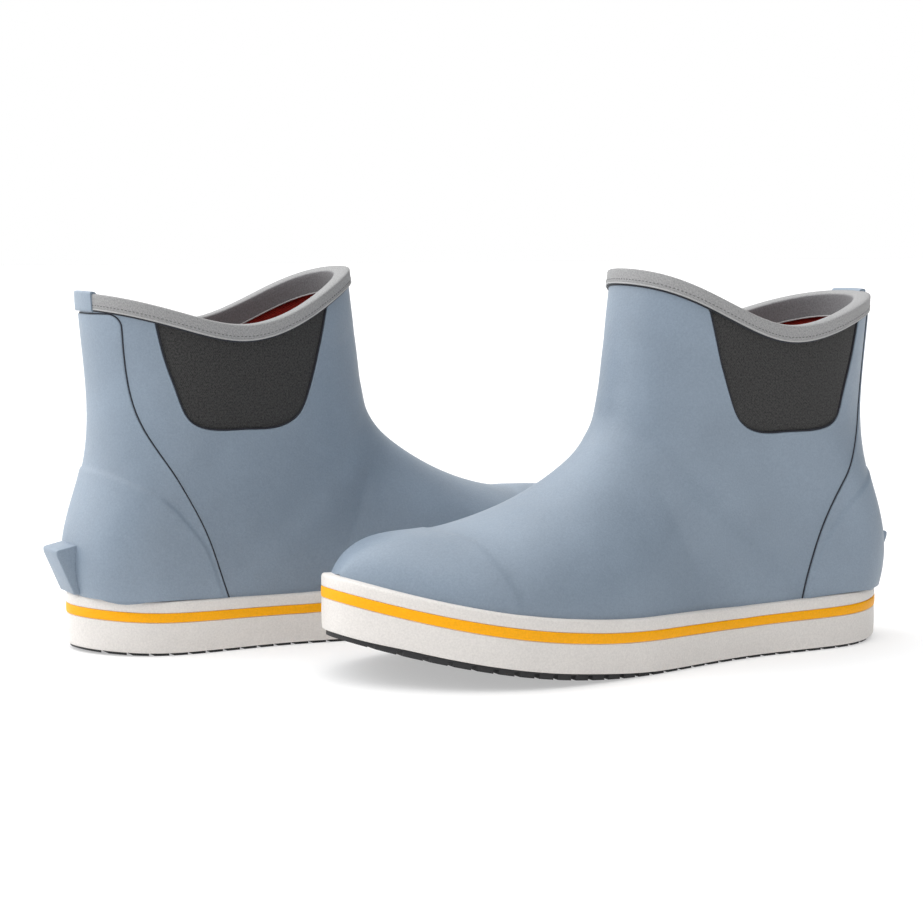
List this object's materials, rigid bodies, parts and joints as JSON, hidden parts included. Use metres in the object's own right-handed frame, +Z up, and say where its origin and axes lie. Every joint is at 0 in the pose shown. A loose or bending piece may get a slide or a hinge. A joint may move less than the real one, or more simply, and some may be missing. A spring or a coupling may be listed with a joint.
{
  "type": "deck boots",
  "caption": "Pair of ankle-high slip-on rubber deck boots with elastic side gores, bound collar, textile lining, striped foxing and grooved soles.",
  "frame": {"origin": "middle of the pair's bounding box, on the floor the boots stand on", "axes": "+X along the boots, the way the right boot's toe points (the left boot points along -X); +Y from the left boot to the right boot; +Z up"},
  "size_m": [0.3934, 0.254, 0.1856],
  "materials": {
    "tread_rubber": "matt black rubber tread",
    "foxing_rubber": "smooth off-white vulcanised rubber",
    "stripe_rubber": "smooth amber yellow rubber",
    "midsole_foam": "closed-cell foam, hidden",
    "shank_steel": "spring steel, hidden",
    "board": "pressed fibre board, hidden",
    "footbed_foam": "foam footbed with a dark knit cover",
    "lining_fabric": "dark red textile lining",
    "shell_rubber": "soft-touch blue-grey rubber, slightly sheened",
    "stiffener": "thermoplastic stiffener sheet, hidden",
    "gore_knit": "ribbed dark elastic webbing",
    "binding_tape": "light grey woven elastic tape"
  },
  "bodies": {
    "left_boot": {"left_outsole": "tread_rubber", "left_foxing": "foxing_rubber", "left_foxing_stripe": "stripe_rubber", "left_midsole": "midsole_foam", "left_shank": "shank_steel", "left_insole_board": "board", "left_lining": "lining_fabric", "left_shell": "shell_rubber", "left_toe_puff": "stiffener", "left_heel_counter": "stiffener", "left_heel_overlay": "shell_rubber", "left_outer_gore": "gore_knit", "left_inner_gore": "gore_knit", "left_collar_binding": "binding_tape", "left_back_tab": "shell_rubber", "left_kick_tab": "shell_rubber"},
    "left_footbed": {"left_footbed": "footbed_foam"},
    "right_boot": {"right_outsole": "tread_rubber", "right_foxing": "foxing_rubber", "right_foxing_stripe": "stripe_rubber", "right_midsole": "midsole_foam", "right_shank": "shank_steel", "right_insole_board": "board", "right_lining": "lining_fabric", "right_shell": "shell_rubber", "right_toe_puff": "stiffener", "right_heel_counter": "stiffener", "right_heel_overlay": "shell_rubber", "right_outer_gore": "gore_knit", "right_inner_gore": "gore_knit", "right_collar_binding": "binding_tape", "right_back_tab": "shell_rubber", "right_kick_tab": "shell_rubber"},
    "right_footbed": {"right_footbed": "footbed_foam"}
  },
  "joints": [
    {"name": "right_boot_lift", "type": "slide", "parent": "left_boot", "child": "right_boot", "axis": [0, 0, 1], "range_m": [0, 0.2]},
    {"name": "left_footbed_lift", "type": "hinge", "parent": "left_boot", "child": "left_footbed", "pos_m": [-0.0968, -0.0682, 0.0365], "axis": [0, -1, 0], "range_deg": [0, 6]},
    {"name": "right_footbed_lift", "type": "hinge", "parent": "right_boot", "child": "right_footbed", "pos_m": [0.0968, 0.0698, 0.0365], "axis": [0, 1, 0], "range_deg": [0, 6]}
  ]
}
